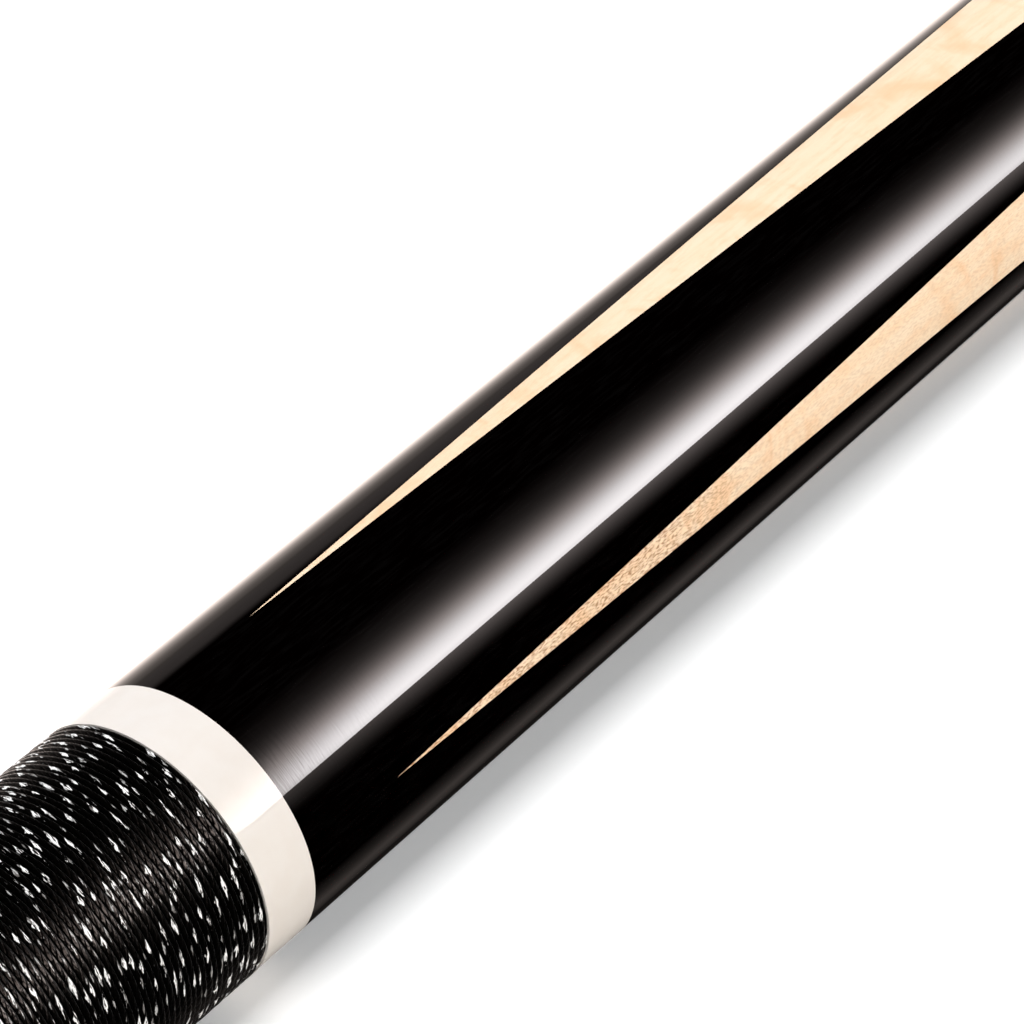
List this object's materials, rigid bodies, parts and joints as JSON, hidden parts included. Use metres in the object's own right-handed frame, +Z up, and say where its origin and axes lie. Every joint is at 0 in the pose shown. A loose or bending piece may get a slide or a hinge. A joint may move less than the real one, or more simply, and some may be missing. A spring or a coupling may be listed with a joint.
{
  "type": "pool cue",
  "caption": "Two-piece pool cue with a thread-wrapped handle, a spliced forearm, white rings, a screw joint and a leather tip.",
  "frame": {"origin": "centre of the bumper's flat end face", "axes": "+X along the cue's axis from the bumper to the tip, +Z up"},
  "size_m": [1.4842, 0.0316, 0.0316],
  "materials": {
    "rubber": "matt moulded rubber",
    "nylon": "moulded nylon",
    "brass": "turned brass",
    "black_gloss": "black wood under a high-gloss clear coat",
    "white_gloss": "warm white plastic, polished under clear coat",
    "steel": "turned steel",
    "bare_maple": "bare turned maple",
    "linen": "black linen thread with white flecks, pressed and waxed",
    "maple_gloss": "light maple under a high-gloss clear coat",
    "shaft_maple": "light maple, sealed and burnished to a satin sheen",
    "ferrule_white": "white plastic, satin",
    "fibre": "pressed red fibre",
    "leather": "pressed layered leather"
  },
  "bodies": {
    "butt": {"bumper_insert": "brass", "butt_cap": "black_gloss", "cap_ring": "white_gloss", "butt_sleeve": "black_gloss", "weight_bolt": "steel", "rear_ring": "white_gloss", "handle_core": "bare_maple", "linen_wrap": "linen", "front_ring": "white_gloss", "handle_screw": "steel", "forearm_prongs": "black_gloss", "forearm_core": "maple_gloss", "joint_trim_ring": "white_gloss", "joint_collar": "black_gloss", "joint_pin": "steel"},
    "insert": {"shaft_insert": "brass"},
    "shaft": {"shaft_collar": "black_gloss", "shaft_trim_ring": "white_gloss", "shaft": "shaft_maple", "ferrule": "ferrule_white", "tip_pad": "fibre", "tip": "leather"},
    "stud": {"bumper_stud": "nylon"},
    "bumper": {"bumper": "rubber"}
  },
  "joints": [
    {"name": "shaft_advance", "type": "slide", "parent": "butt", "child": "insert", "axis": [1, 0, 0], "range_m": [0, 0.02177]},
    {"name": "shaft_turn", "type": "hinge", "parent": "insert", "child": "shaft", "pos_m": [0.7476, 0, 0], "axis": [1, 0, 0], "range_deg": [0, 4320]},
    {"name": "bumper_advance", "type": "slide", "parent": "butt", "child": "stud", "axis": [-1, 0, 0], "range_m": [0, 0.00977]},
    {"name": "bumper_turn", "type": "hinge", "parent": "stud", "child": "bumper", "pos_m": [0.011, 0, 0], "axis": [-1, 0, 0], "range_deg": [0, 1800]}
  ],
  "couplings": [
    {"joint": "shaft_turn", "follows": "shaft_advance", "rad_per_m": 3463.2},
    {"joint": "bumper_turn", "follows": "bumper_advance", "rad_per_m": 3215.8}
  ]
}
